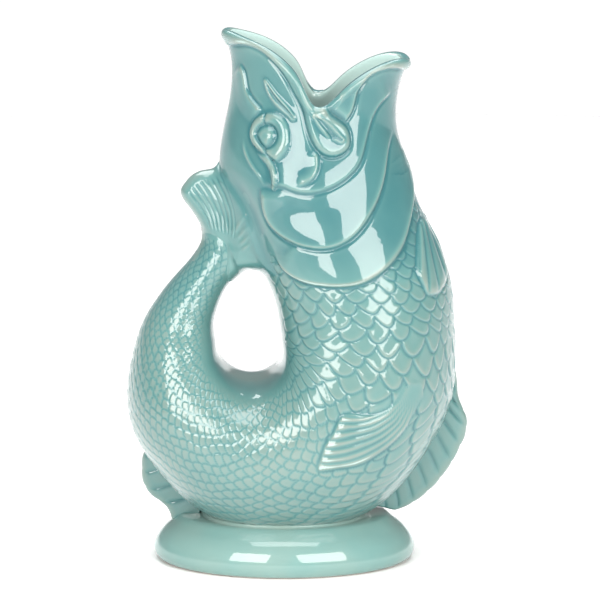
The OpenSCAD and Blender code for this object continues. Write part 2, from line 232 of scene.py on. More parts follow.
rim_rows = np.array(RIM_SHARES)
rim_angle = np.concatenate([-rim_rows[3:0:-1, 0], rim_rows[:, 0], 360 - rim_rows[-2:-5:-1, 0]])
rim_level = np.concatenate([rim_rows[3:0:-1, 1], rim_rows[:, 1], rim_rows[-2:-5:-1, 1]]) * JUG_H
rim_at = spline(rim_angle, rim_level[:, None])
column_share = np.minimum(np.arange(AROUND), AROUND - np.arange(AROUND)) / (AROUND / 2)
seam_angles, _ = even_angles(level_section(np.array(SEAM_Z)))
rim_z = rim_at(np.degrees(np.minimum(seam_angles, 2 * math.pi - seam_angles)))[:, 0]

# Rows of the outer surface: over the lip, down the head, through the belly, up the tail
LIP_PROFILE = [(-4.5, 0), (-4.5, 1.8), (-4.1, 3.5), (-3.0, 4.75), (-1.6, 5.15), (-0.3, 4.75),
               (0.45, 3.6), (0.5, 2.2), (0.2, 0.9), (0, 0)]
LIP_ROWS, HEAD_ROWS, BELLY_ROWS, TAIL_ROWS = 26, 165, 400, 150


def level_rows(grow, up_from_top, share_down):
    """Rows of the head, at heights above the lip's foot or at shares of the way to the seam."""
    top = rim_z - LIP_H
    z = np.where(share_down[:, None] > 0,
                 top + (SEAM_Z - top) * share_down[:, None], top + up_from_top[:, None])
    angles = np.broadcast_to(seam_angles, z.shape)
    return on_section(level_section(z), angles, grow[:, None] * np.ones_like(z)), way_of_height(z)


def run_rows(ways, grow=0.0):
    """Rows across the run below the seam."""
    points = []
    for way in ways:
        section = section_at(np.array(way))
        angles, _ = even_angles(section)
        points.append(on_section(section[None, :], angles, grow))
    return np.array(points), np.broadcast_to(np.asarray(ways)[:, None], (len(ways), AROUND))


lip = smooth_line(LIP_PROFILE, LIP_ROWS)
head_share = np.linspace(0, 1, HEAD_ROWS)[1:]
lip_points, lip_ways = level_rows(lip[:, 0], lip[:, 1], np.zeros(LIP_ROWS))
zero = np.zeros(len(head_share))
head_points, head_ways = level_rows(zero, zero, head_share)
seam_way, split_way = float(way_of_height(SEAM_Z)), float(way_of_row(BELLY_SPLIT))
belly_way, tail_way = float(way_of_row(BELLY_END)), float(row_way[-1])
upper = int(BELLY_ROWS * (split_way - seam_way) / (belly_way - seam_way))
ways = np.concatenate([np.linspace(seam_way, split_way, upper + 1)[1:],
                       np.linspace(split_way, belly_way, BELLY_ROWS - upper + 1)[1:],
                       np.linspace(belly_way, tail_way, TAIL_ROWS + 1)[1:]])
run_points, run_ways = run_rows(ways)
surface = np.concatenate([lip_points, head_points, run_points])
way = np.concatenate([lip_ways, head_ways, run_ways])
LIP_END = LIP_ROWS - 1
SEAM = LIP_END + len(head_share)
SPLIT = SEAM + upper
BELLY_LAST = SEAM + BELLY_ROWS
row_index = np.arange(len(surface))[:, None] * np.ones(AROUND)
side_share = np.broadcast_to(column_share, way.shape)


def grid_normals(points):
    along = np.gradient(points, axis=0)
    across = (np.roll(points, -1, axis=1) - np.roll(points, 1, axis=1)) / 2
    normal = np.cross(along, across)
    return normal / np.maximum(np.linalg.norm(normal, axis=-1, keepdims=True), 1e-9)


base_normal = grid_normals(surface)
near = np.where(surface[..., 1:2] > 0, surface * [1, -1, 1], surface)
near_x, near_z = near[..., 0], near[..., 2]

# The lines are laid on the surface of the near side
pick = (surface[..., 1] <= 0.01) & (row_index >= LIP_END - 8) & (row_index <= BELLY_LAST)
near_side = surface[pick]


def laid(points, closed):
    """A line of the side view, laid on the surface and smoothed across."""
    flat = smooth_line(points, 8 * len(points), closed)
    lifted = []
    for x, z in flat:
        away = (near_side[:, 0] - x) ** 2 + (near_side[:, 2] - z) ** 2
        nearest = np.argpartition(away, 4)[:4]
        lifted.append((x, near_side[nearest, 1].mean(), z))
    lifted = np.array(lifted)
    for _ in range(4):
        lifted[1:-1, 1] = (lifted[:-2, 1] + 2 * lifted[1:-1, 1] + lifted[2:, 1]) / 4
    return lifted


# Distance given to points beyond a line's margin
FAR = 1e3


def nearest_on(line, p):
    """Distance of points p from a line, share of the way along it, and +1 where p lies to its
    left in the side view."""
    best = np.full(len(p), 1e9)
    share, side = np.zeros(len(p)), np.zeros(len(p))
    for k in range(len(line) - 1):
        a, d = line[k], line[k + 1] - line[k]
        t = np.clip(((p - a) @ d) / (d @ d), 0, 1)
        off = p - a - t[:, None] * d
        away = (off ** 2).sum(1)
        closer = away < best
        best[closer] = away[closer]
        share[closer] = (k + t[closer]) / (len(line) - 1)
        side[closer] = np.sign(d[0] * off[closer, -1] - d[-1] * off[closer, 0])
    return np.sqrt(best), share, side


def to_line(points, margin, closed=False):
    """nearest_on for the whole surface and a line laid on it."""
    line = laid(points, closed)
    if closed:
        line = np.concatenate([line, line[:1]])
    low, high = line.min(0) - margin, line.max(0) + margin
    chosen = np.all((near > low) & (near < high), axis=-1) & (row_index >= LIP_END - 12)
    chosen &= row_index <= BELLY_LAST + 4
    fields = np.full(way.shape, FAR), np.zeros(way.shape), np.zeros(way.shape)
    for field, values in zip(fields, nearest_on(line, near[chosen])):
        field[chosen] = values
    return fields


def beside(points, x, z):
    """Distance from a smooth line in the side view, + to its left, and share of the way."""
    line = smooth_line(points, 8 * len(points))
    distance, share, side = nearest_on(line, np.stack([x.ravel(), z.ravel()], -1))
    return (distance * side).reshape(x.shape), share.reshape(x.shape)


def depth_inside(points, turn=1, margin=8):
    """How deep points lie inside a closed outline. turn is -1 for a clockwise one."""
    distance, _, side = to_line(points, margin, True)
    return np.where(distance < FAR, turn * distance * side, -FAR)


def faded(share, start, end):
    """1 along a line, easing to 0 over its first and last shares."""
    f = np.ones_like(share)
    if start:
        f = f * ease(0, start, share)
    if end:
        f = f * ease(1, 1 - end, share)
    return f


def raised_edge(points, high_side, rise, reach, groove, soft, start, end):
    """A plate's edge: the surface stands up on one side of the line and settles back."""
    distance, share, side = to_line(points, reach + 4)
    d = distance * side * high_side
    h = rise * ease(-soft, soft, d) * (1 - np.clip(d / reach, 0, 1) ** 2) ** 2
    h = h - groove * peak(d + soft, 0.9)
    return h * faded(share, start, end) * (distance < FAR)


def ridge(points, height, half_width):
    distance, share, _ = to_line(points, 8 + 2 * half_width)
    return height * peak(distance, half_width) * faded(share, 0.3, 0.4)


def loop_ridge(points, height, spacing, half_width):
    """A ridge round a long hollow that is pointed at both ends."""
    line = smooth_line(points, 24)
    along = np.gradient(line, axis=0)
    along /= np.linalg.norm(along, axis=1, keepdims=True)
    swell = spacing * np.sin(np.linspace(0, math.pi, len(line))) ** 0.6
    off = np.stack([-along[:, 1], along[:, 0]], -1) * swell[:, None]
    depth = depth_inside(np.concatenate([line + off, (line - off)[-2:0:-1]])[::2], -1)
    return height * peak(depth, half_width) - 0.35 * height * ease(0.2, 1.0, depth)


def lip_strip(points, high_side, fall):
    """A strip beside a jaw's edge: signed distance, way along, strip and groove before it."""
    distance, share, side = to_line(points, 16)
    d = distance * side * high_side
    strip = ease(-0.7, 0.7, d) * np.exp(-np.maximum(d - 7, 0) / fall) * (distance < FAR)
    return d, share, strip, peak(d + 0.8, 0.9) * (distance < FAR)


def shoulder(d, height, soft):
    """A rounded edge that rises inside an outline."""
    return height * (1 - np.exp(-np.maximum(d, 0) / soft))


relief = np.zeros(way.shape)
relief += raised_edge(JAW_EDGE, 1, 1.1, 15, 0.35, soft=1.1, start=0.12, end=0.06)
relief += raised_edge(CHEEK_EDGE, 1, 1.5, 17, 0.45, soft=1.1, start=0.05, end=0.16)
relief += raised_edge(GILL_EDGE, 1, 1.8, 20, 0.35, soft=0.9, start=0.10, end=0.22)
relief += raised_edge(BROW, -1, 0.9, 10, 0.35, soft=0.9, start=0.12, end=0.1)
relief += raised_edge(CHEEK_FOLD, -1, 0.9, 7, 0.3, soft=0.8, start=0.15, end=0.2)

d, share, strip, groove = lip_strip(UPPER_LIP, 1, 1.5)
strip = strip * (1 - 0.35 * peak(d - 0.4, 0.9))
relief += (1.0 + 1.2 * ease(0.3, 0.5, share)) * strip
relief -= 0.55 * groove * faded(share, 0.04, 0.06)
d, share, strip, groove = lip_strip(LOWER_LIP, -1, 2.0)
relief += 1.2 * strip * faded(share, 0, 0.12)
relief -= 0.45 * groove * faded(share, 0.05, 0.1)
relief += loop_ridge(LOBE_RIDGE, 0.7, 1.8, 0.75)
relief += loop_ridge(NOSTRIL, 0.7, 1.3, 0.7)
relief += ridge(FINE_RIDGE, 0.5, 0.7)
relief += ridge(NECK_LINE, -NECK_DENT, NECK_DENT_HALF)

# The eye: a ring round a domed pupil, with slits at its corners and a tear below
RING_RISE, PUPIL_RISE, PUPIL_REACH = 1.8, 1.9, 4.4
in_eye, in_pupil = depth_inside(EYE, -1, 10), depth_inside(PUPIL, -1, 14)
ring = np.clip(np.minimum(in_eye, -in_pupil) / np.maximum(in_eye - in_pupil, 1e-3) * 2, 0, 1)
ring = np.where((in_eye > 0) & (in_pupil < 0), ring, 0)
eye = RING_RISE * (1 - (1 - ring) ** 2.4)
for slit in EYE_SLITS:
    eye = eye - 1.1 * peak(to_line(slit, 6)[0], 0.65) * (in_eye > -0.5)
dome = PUPIL_RISE * (1 - (1 - np.clip(in_pupil / PUPIL_REACH, 0, 1)) ** 2)
eye = np.where(in_pupil > 0, dome, eye)
eye = np.where(in_eye > -FAR, eye - 0.45 * peak(in_eye + 0.6, 0.8), 0)
tear_distance, tear_share, _ = to_line(TEAR, 8)
tear_width = np.interp(tear_share, [0, 0.2, 0.5, 0.8, 1], [1.7, 2.1, 1.9, 1.5, 0.5])
tear = 1.5 * np.clip(1 - (tear_distance / tear_width) ** 2, 0, 1) ** 0.7
relief += np.maximum(eye, tear * ease(0.25, 0.5, tear_share))

# Side fins: raised plates with rounded rays that spread from a point
PELVIC_ROOT, PELVIC_RAY_ANGLE = (55.5, 172.0), 6.5
in_pelvic = depth_inside(PELVIC_FIN)
fan = np.degrees(np.arctan2(near_x - PELVIC_ROOT[0], PELVIC_ROOT[1] - near_z))
pelvic_ray = np.abs(np.sin(np.radians(fan * 180 / PELVIC_RAY_ANGLE)))
pelvic = shoulder(in_pelvic, 1.3, 1.2)
pelvic = pelvic - 0.55 * (1 - pelvic_ray) ** 2 * ease(0.2, 1.5, in_pelvic)
relief += np.where(in_pelvic > 0, pelvic, 0)

PECTORAL_ROOT, PECTORAL_RAYS = (56.0, 93.0), 7
in_pectoral = depth_inside(PECTORAL_FIN)
far = np.hypot(near_x - PECTORAL_ROOT[0], near_z - PECTORAL_ROOT[1])
angle = np.degrees(np.arctan2(near_z - PECTORAL_ROOT[1], near_x - PECTORAL_ROOT[0])) % 360
# The angles of the fan's upper and lower edge, by the distance from its root
top_angle = np.interp(far, [0, 10, 20, 30, 38, 61], [212, 213, 214, 208, 201, 192])
low_angle = np.interp(far, [0, 21, 34, 47, 61], [262, 254, 243, 232.4, 220])
across_fin = (angle - top_angle) / (low_angle - top_angle)
pectoral_groove = (0.5 + 0.5 * np.cos(2 * math.pi * PECTORAL_RAYS * across_fin)) ** 1.4
ray_depth = 0.5 * ease(0.2, 1.6, in_pectoral) * ease(6, 24, far)
pectoral = shoulder(in_pectoral, 1.2, 1.5) * ease(3, 30, far) - ray_depth * pectoral_groove
relief += np.where(in_pectoral > 0, pectoral, 0)
relief -= (0.3 * ease(2, 20, far) * peak(in_pectoral + 0.6, 0.9)
           + 0.3 * peak(in_pelvic + 0.7, 0.7))


def inside(outline, x, z):
    """Which points (x, z) lie inside an outline."""
    found = np.zeros(x.shape, bool)
    for (x0, z0), (x1, z1) in zip(outline, np.roll(outline, -1, axis=0)):
        crosses = (z0 > z) != (z1 > z)
        with np.errstate(divide="ignore", invalid="ignore"):
            found ^= crosses & (x < (x1 - x0) * (z - z0) / (z1 - z0) + x0)
    return found


# Scales: width and pitch along the run, then rows of overlapping arcs
SCALE_ROWS = [0, 5, 8, 9, 11, 12, 13, 14, 15, 16, 17, 18, 20, 22, 24, 31]
SCALE_WIDTH = [9, 9, 9, 9.2, 10.5, 12, 13, 11, 8, 6, 5.4, 5.0, 4.6, 4.2, 3.9, 3.8]
SCALE_PITCH = [5, 5, 5, 5, 5.6, 6.4, 7.0, 6.4, 5.2, 4.4, 4.1, 3.9, 3.6, 3.2, 2.8, 2.8]
# Share of a row's pitch that its scales' free edge reaches, rows added at the belly's keel, and
# how much denser the scales stand across the body there. Ranges of body_row are in rows of
# SECTION_SHARES
SCALE_DEPTH, EXTRA_SCALE_ROWS, KEEL_CROWDING = 0.88, 5.5, 0.5
section_rows = np.arange(len(row_way))
fine_way = np.linspace(0, tail_way, 1200)
fine_pitch = np.interp(np.interp(fine_way, row_way, section_rows), SCALE_ROWS, SCALE_PITCH)
scale_count = np.concatenate([[0], np.cumsum(np.diff(fine_way) / fine_pitch[1:])])
outline_length = np.array([even_angles(section_at(np.array(v)))[1] for v in fine_way[::12]])
half_length = np.interp(way, fine_way[::12], outline_length)
body_row = np.interp(way, row_way, section_rows)
width = np.interp(body_row, SCALE_ROWS, SCALE_WIDTH)
pitch = np.interp(body_row, SCALE_ROWS, SCALE_PITCH)
more_rows = ease(11.5, 15.5, body_row) - ease(17, 25, body_row)
scale_r = np.interp(way, fine_way, scale_count)
scale_r = scale_r + EXTRA_SCALE_ROWS * ease(0.36, 0.02, side_share) * more_rows
keel_share = np.linspace(0, 1, 401)
keel_count = np.cumsum(1 + KEEL_CROWDING * ease(0.30, 0.12, keel_share)) / 400
keel_count -= np.interp(0.5, keel_share, keel_count)
crowded = ease(10, 13.5, body_row) * (1 - ease(18, 21, body_row))
from_middle = ((1 - crowded) * (side_share - 0.5)
               + crowded * np.interp(side_share, keel_share, keel_count))
scale_q = half_length / width * from_middle
run_step = np.linalg.norm(np.diff(surface, axis=0, prepend=surface[:1]), axis=2)
row_step = np.maximum(np.abs(np.gradient(scale_r, axis=0)), 1e-6)
pitch = np.clip(run_step / row_step, 0.4 * pitch, 1.6 * pitch)
width = width / (1 + KEEL_CROWDING * crowded * ease(0.30, 0.12, side_share))
# Rows and scales wander a little from an even grid
r = (scale_r + 0.10 * np.sin(0.9 * scale_q + 1.3 * scale_r)
     + 0.06 * np.sin(2.3 * scale_q - 0.7 * scale_r + 1))
q = (scale_q + 0.10 * np.sin(1.7 * scale_r + 0.6 * scale_q)
     + 0.05 * np.sin(0.5 * scale_r - 2.1 * scale_q))


def arc(row, q):
    """How far the free edge of a row's scales reaches at q, and the place between two scales."""
    off = q - 0.5 * (row % 2)
    off = np.clip(np.abs(off - np.round(off)) * 2, 0, 1)
    return SCALE_DEPTH * (1 - off ** 2) ** 0.85, off


def in_mm(reach, off):
    """The distance across an edge, from its reach along the run."""
    slope = SCALE_DEPTH * pitch * 1.7 * off / (1 - off ** 2 + 0.03) ** 0.15 * 2 / width
    return reach * pitch / np.sqrt(1 + slope ** 2)


# Each point lies on a scale of row k, or below its free edge on one of the next row
k = np.floor(r)
f = r - k
reach_k, off_k = arc(k, q)
reach_before, off_before = arc(k - 1, q)
reach_after, off_after = arc(k + 1, q)
on_k = f <= reach_k
own = np.where(on_k, in_mm(np.abs(reach_k - f), off_k),
               in_mm(np.abs(reach_after + 1 - f), off_after))
cover = np.where(on_k, in_mm(np.abs(f + 1 - reach_before), off_before),
                 in_mm(np.abs(f - reach_k), off_k))
edge = np.minimum(own, cover)
# A scale of pitch 6 steps up 0.6 at its free edge, behind a groove of 0.36
size = pitch / 6
scale_height = (0.6 * size * (cover / (own + cover + 1e-6) - 0.5) * np.tanh(edge / 0.6)
                - 0.36 * size ** 0.5 * peak(edge, 0.58 * size ** 0.3))

# Where the scales show: not on the plates, the fins and the tail's inner side
plate = np.concatenate([smooth_line(GILL_EDGE, 60),
                        [(60, 215), (60, 320), (-80, 320), (-80, 146), (-16, 146)]])
no_scales = inside(plate, near_x, near_z) & (row_index < BELLY_LAST)
inner_start = np.interp(body_row, [0, 8, 13, 15, 19, 22, 26, 28],
                        [0.84, 0.76, 0.74, 0.70, 0.66, 0.62, 0.62, 0.60])
between_plates = ease(172, 184, near_z) * ease(0.17, 0.11, side_share)
near_fin = ease(-5, -0.5, beside(SCALES_END, near_x, near_z)[0])
scaly = (np.where(no_scales, 0.0, ease(0.6, 2.2, to_line(GILL_EDGE, 12)[0]))
         * (row_index > LIP_END) * ease(-0.4, -1.4, in_pectoral) * ease(-0.4, -1.4, in_pelvic)
         * (1 - ease(inner_start, inner_start + 0.14, side_share))
         * ease(0.012, 0.035, side_share) * (1 - ease(28.6, 29.2, body_row))
         * (1 - between_plates) * (1 - near_fin * ease(24, 25, body_row)))
sunk = 0.5 * ease(14.5, 18, body_row)
soft_end = 1 - 0.4 * ease(13.5, 16.5, body_row) - 0.25 * ease(21, 26, body_row)
relief += scaly * soft_end * scale_height - sunk
relief *= ease(LIP_END - 13, LIP_END - 5, row_index)

outer = surface + base_normal * relief[..., None]


def blurred(field, sigma):
    """Gaussian blur on the grid, which wraps round the body but not along it."""
    reach = int(3 * sigma)
    weights = np.exp(-0.5 * (np.arange(-reach, reach + 1) / sigma) ** 2)
    weights /= weights.sum()
    padded = np.pad(field, ((reach, reach), (0, 0)), mode="edge")
    rows = sum(w * padded[k:k + len(field)] for k, w in enumerate(weights))
    return sum(w * np.roll(rows, k - reach, axis=1) for k, w in enumerate(weights))


# How far the glaze has pooled, from -1 on high edges to 1 in hollows: deep in the scales' grooves,
# thin on the lip. The same value carries painted shade round the hole, a darker head, a paler lower
# body and inner side, and painted light inside the mouth
pool_and_painted_light = np.clip((blurred(relief, 2.4) - relief) / 0.36, -1, 1)
groove_width = 0.5 * np.clip(size, 0.3, 1) ** 0.6
pool_and_painted_light = np.where(scaly > 0.5, 0.45 * pool_and_painted_light - 0.15 + 0.8 * peak(edge, groove_width), pool_and_painted_light)
# Painted shade: the colour deepens on the body's and tail's inner side round the hole
hole_shade = ease(0.70, 0.92, side_share) * ease(10, 13, body_row) * (1 - ease(29, 31, body_row))
low_body = ease(14, 16, body_row) * (1 - ease(23, 26, body_row))
# Darker colour over the head, less so at its back
head_darkening = 0.66 - 0.28 * ease(0.55, 0.8, side_share)
on_head = 1 - ease(SEAM - 20, SEAM + 40, row_index)
pool_and_painted_light = np.clip(pool_and_painted_light + 0.5 * hole_shade - 0.22 * low_body * (1 - hole_shade) + head_darkening * on_head, -1, 1)
pool_and_painted_light -= 0.8 * ease(0.84, 0.97, side_share) * ease(8, 10, body_row)
pool_and_painted_light -= 0.45 * peak(row_index - (LIP_END - 9), 7.0)
# Painted light: the lip's inner side runs to the palest colour, as if lit inside the mouth
pool_and_painted_light -= 2.4 * ease(LIP_END - 13, LIP_END - 19, row_index)
normals = grid_normals(outer)
outer[SEAM:, :, 2] = np.maximum(outer[SEAM:, :, 2], FOOT_H - 1.5)

# The inner wall, in fewer rows
INNER_HEAD, INNER_BELLY, INNER_TAIL = 30, 26, 16
inner_head, _ = level_rows(np.full(INNER_HEAD, -WALL), np.zeros(INNER_HEAD),
                           np.maximum(np.linspace(0, 1, INNER_HEAD), 1e-9))


def inner_run(start, end, count):
    points, _ = run_rows(np.linspace(start, end, count), -WALL)
    points[..., 2] = np.maximum(points[..., 2], FOOT_H + WALL)
    return points


def cell_quads(i, j, rows, columns):
    """The quads of cells (i, j) of a grid that may wrap both ways."""
    i2, j2 = (i + 1) % rows, (j + 1) % columns
    return np.stack([i * columns + j, i2 * columns + j, i2 * columns + j2, i * columns + j2], -1)


def band_faces(rows, columns, wrap_rows):
    i = np.arange(rows if wrap_rows else rows - 1)[:, None]
    return cell_quads(i, np.arange(columns)[None, :], rows, columns).reshape(-1, 4)


def split_beside(quads, sunk):
    """Quads with one sunk corner, as triangles that meet in that corner, apart from the rest."""
    one = sunk[quads].sum(1) == 1
    first = np.argmax(sunk[quads[one]], axis=1)
    turned = np.take_along_axis(quads[one], (first[:, None] + np.arange(4)) % 4, axis=1)
    return quads[~one], np.concatenate([turned[:, [0, 1, 2]], turned[:, [0, 2, 3]]])


def add_object(name, data):
    made = bpy.data.objects.new(name, data)
    bpy.context.scene.collection.objects.link(made)
    return made


def new_piece(name, points, quads, tris, nodes, slot, point_normals, pool_and_painted_light):
    """A closed mesh that rides on the jug and stands for CAD nodes."""
    mesh = bpy.data.meshes.new(name)
    quads = np.asarray(quads, np.int32).reshape(-1, 4)
    tris = np.asarray(tris, np.int32).reshape(-1, 3)
    mesh.vertices.add(len(points))
    mesh.vertices.foreach_set("co", (points * MM).astype(np.float32).ravel())
    mesh.loops.add(quads.size + tris.size)
    mesh.loops.foreach_set("vertex_index", np.concatenate([quads.ravel(), tris.ravel()]))
    mesh.polygons.add(len(quads) + len(tris))
    starts = np.concatenate([np.arange(len(quads)) * 4, quads.size + np.arange(len(tris)) * 3])
    mesh.polygons.foreach_set("loop_start", starts.astype(np.int32))
    mesh.update(calc_edges=True)
    mesh.polygons.foreach_set("use_smooth", np.ones(len(mesh.polygons), bool))
    stored = mesh.attributes.new("pool_and_painted_light", "FLOAT", "POINT")
    stored.data.foreach_set("value", np.asarray(pool_and_painted_light, np.float32).ravel())
    if point_normals is not None:
        mesh.normals_split_custom_set_from_vertices(point_normals.reshape(-1, 3).tolist())
    piece = add_object(name, mesh)
    piece.data.materials.append(GLAZES[slot])
    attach(piece, "root")
    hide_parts(*nodes)


def sleeve_piece(name, first, last, inner_rows, nodes, slot, inner_painted_light=0.0):
    """A tube wall: the shell's rows from first to last, then inner rows back up."""
    rows = slice(first, last + 1)
    rings = np.concatenate([shell[rows], inner_rows[::-1]])
    n = np.concatenate([normals[rows], -grid_normals(inner_rows)[::-1]])
    depth = np.linspace(0, 1, len(inner_rows))[:, None] * np.ones(AROUND)
    # Painted light: the inner wall turns pale towards its top, where it shows through the mouth
    p = np.concatenate([pool_and_painted_light[rows], 0.1 - inner_painted_light * ease(0.3, 0.9, depth)])
    sunk = np.concatenate([deep_inside[rows], np.zeros(depth.shape, bool)])
    quads, tris = split_beside(band_faces(len(rings), AROUND, True), sunk.ravel())
    new_piece(name, rings.reshape(-1, 3), quads, tris, nodes, slot, n, p.ravel())


def capped_piece(name, rings, ring_normals, ring_pool_and_painted_light, nodes, slot):
    """Rings closed by a point at each end."""
    rows, columns = rings.shape[:2]
    points = np.concatenate([rings.reshape(-1, 3), [rings[0].mean(0)], [rings[-1].mean(0)]])
    j = np.arange(columns)
    j2 = (j + 1) % columns
    first, last, top = rows * columns, rows * columns + 1, (rows - 1) * columns
    tris = np.concatenate([np.stack([np.full(columns, first), j, j2], -1),
                           np.stack([np.full(columns, last), top + j2, top + j], -1)])
    n = None
    if ring_normals is not None:
        n = np.concatenate([ring_normals.reshape(-1, 3), [-ring_normals[0].mean(0)],
                            [ring_normals[-1].mean(0)]])
        n = n / np.maximum(np.linalg.norm(n, axis=1, keepdims=True), 1e-6)
    p = np.concatenate([ring_pool_and_painted_light.ravel(), [0, 0]])
    new_piece(name, points, band_faces(rows, columns, False), tris, nodes, slot, n, p)


# Glazes: translucent turquoise, beige where it is thin and teal where it pools. The colours are
# those on screen, and the shares take out what the studio's light adds
# The foot's larger share paints it brighter: painted light. The palest colour is the thinnest glaze
# on sharp edges, and painted light inside the mouth, brightened by its larger share
GLAZE_SHARE, FOOT_SHARE_WITH_PAINTED_LIGHT, PALEST_PAINTED_LIGHT_SHARE = 0.46, 0.64, 0.78
PALEST_PAINTED_LIGHT, THIN = (192, 222, 217), (176, 201, 191)
MID, DEEP, CLAY = (128, 189, 186), (79, 153, 159), (206, 204, 192)
CLOUD = 0.12
# Heights in metres at which the foot turns into bare clay and at which it is all bare
BARE_BELOW, BARE_FULLY = 0.0010, 0.0004


def linear(red, green, blue, share=1.0):
    """A colour as it shows on screen, as a linear one, times share."""
    channels = []
    for v in (red, green, blue):
        v = v / 255
        channels.append(share * (v / 12.92 if v < 0.04045 else ((v + 0.055) / 1.055) ** 2.4))
    return (*channels, 1.0)


def add_node(tree, kind, values, sources):
    """A shader node with values set on its inputs and links from sources into them."""
    node = tree.nodes.new(kind)
    for socket, value in values.items():
        node.inputs[socket].default_value = value
    for socket, source in sources.items():
        tree.links.new(source, node.inputs[socket])
    return node


def glaze(name):
    """A clear gloss over a colour that follows the pool_and_painted_light attribute (glaze pooling
    with painted shade and painted light) and a faint cloudiness.
    """
    on_foot = name == "glaze_foot"
    # The foot's glaze is a brighter copy of the body's: painted light
    share = FOOT_SHARE_WITH_PAINTED_LIGHT if on_foot else GLAZE_SHARE
    material = bpy.data.materials.new(name)
    material.use_nodes = True
    tree = material.node_tree
    shader = tree.nodes["Principled BSDF"]
    shader.inputs["Roughness"].default_value = 0.32
    shader.inputs["IOR"].default_value = 1.5
    shader.inputs["Specular IOR Level"].default_value = 0.15
    shader.inputs["Coat Weight"].default_value = 1.0
    shader.inputs["Coat Roughness"].default_value = 0.035
    shader.inputs["Coat IOR"].default_value = 1.55
    stored = tree.nodes.new("ShaderNodeAttribute")
    stored.attribute_name = "pool_and_painted_light"
    place = tree.nodes.new("ShaderNodeTexCoord").outputs["Object"]
    cloud = add_node(tree, "ShaderNodeTexNoise", {"Scale": 38, "Detail": 3}, {"Vector": place})
    shift = add_node(tree, "ShaderNodeMapRange",
                     {"From Min": 0.3, "From Max": 0.7, "To Min": -CLOUD, "To Max": CLOUD},
                     {"Value": cloud.outputs["Fac"]})
    depth = add_node(tree, "ShaderNodeMath", {},
                     {0: stored.outputs["Fac"], 1: shift.outputs["Result"]})
    depth.operation = "ADD"
    spread = add_node(tree, "ShaderNodeMapRange", {"From Min": -1, "From Max": 1},
                      {"Value": depth.outputs["Value"]})
    ramp = add_node(tree, "ShaderNodeValToRGB", {}, {"Fac": spread.outputs["Result"]})
    stops = ramp.color_ramp.elements
    # The ramp's pale end: the thinnest glaze on sharp edges, and painted light inside the mouth
    stops[0].position, stops[1].position = 0.0, 0.95
    stops[0].color, stops[1].color = linear(*PALEST_PAINTED_LIGHT, PALEST_PAINTED_LIGHT_SHARE), linear(*DEEP, share)
    stops.new(0.12).color = linear(*THIN, share)
    stops.new(0.5).color = linear(*MID, share)
    colour = ramp.outputs["Color"]
    if on_foot:
        split = add_node(tree, "ShaderNodeSeparateXYZ", {}, {"Vector": place})
        bare = add_node(tree, "ShaderNodeMapRange",
                        {"From Min": BARE_BELOW, "From Max": BARE_FULLY},
                        {"Value": split.outputs["Z"]})
        clay = tree.nodes.new("ShaderNodeMix")
        clay.data_type = "RGBA"
        clay.inputs["B"].default_value = linear(*CLAY, share)
        tree.links.new(bare.outputs["Result"], clay.inputs["Factor"])
        tree.links.new(colour, clay.inputs["A"])
        colour = clay.outputs["Result"]
    ripple = add_node(tree, "ShaderNodeTexNoise", {"Scale": 160, "Detail": 1}, {"Vector": place})
    bump = add_node(tree, "ShaderNodeBump", {"Strength": 0.25, "Distance": 0.0002},
                    {"Height": ripple.outputs["Fac"]})
    tree.links.new(colour, shader.inputs["Base Color"])
    tree.links.new(bump.outputs["Normal"], shader.inputs["Normal"])
    tree.links.new(bump.outputs["Normal"], shader.inputs["Coat Normal"])
    return material


GLAZES = {name: glaze(name) for name in ("glaze_body", "glaze_scales", "glaze_foot", "glaze_lip",
                                         "glaze_fins", "glaze_features")}

# The raised parts are cut out of the grid as pieces of their own, in pockets of the shell
cells = (near[:-1] + near[1:]) / 2
cells = (cells + np.roll(cells, -1, axis=1)) / 2
cell_x, cell_z = cells[..., 0], cells[..., 2]
cell_left = np.broadcast_to(np.arange(AROUND) < AROUND // 2, cell_x.shape)
cell_row = row_index[:-1]
PARTS = [
    ("gill_cover", "glaze_body",
     np.concatenate([smooth_line(GILL_EDGE, 80), smooth_line(CHEEK_EDGE, 80)[::-1]])),
    ("cheek_plate", "glaze_body",
     np.concatenate([smooth_line(CHEEK_EDGE, 80), smooth_line(JAW_EDGE, 80)[::-1]])),
    ("pelvic_fin", "glaze_fins", smooth_line(PELVIC_FIN, 80, True)),
    ("pectoral_fin", "glaze_fins", smooth_line(PECTORAL_FIN, 120, True)),
    ("jaw_lobe", "glaze_features", smooth_line(LOBE, 80, True)),
    ("eye", "glaze_features", smooth_line(EYE, 80, True))]
label = np.zeros(cell_x.shape, int)
for number, (_, _, outline) in enumerate(PARTS, 1):
    found = inside(outline, cell_x, cell_z) & (cell_row > LIP_END) & (cell_row < BELLY_LAST - 2)
    label[found] = number
label = np.where(label > 0, label * 2 + cell_left, 0)
corner = np.zeros((4, *way.shape), int)
corner[0, :-1] = label
corner[1, 1:] = label
corner[2, :-1] = np.roll(label, 1, axis=1)
corner[3, 1:] = np.roll(label, 1, axis=1)
# A vertex is deep inside where all its four cells belong to one part. Cells without one go back
deep_inside = (corner == corner[0]).all(0) & (corner[0] > 0)
near_deep = deep_inside[:-1] | deep_inside[1:]
label = np.where(near_deep | np.roll(near_deep, -1, axis=1), label, 0)
# Depth of the shell's pockets, and thickness of the parts that lie in them
POCKET, PLATE = 1.7, 1.3
shell = outer - normals * (POCKET * deep_inside)[..., None]


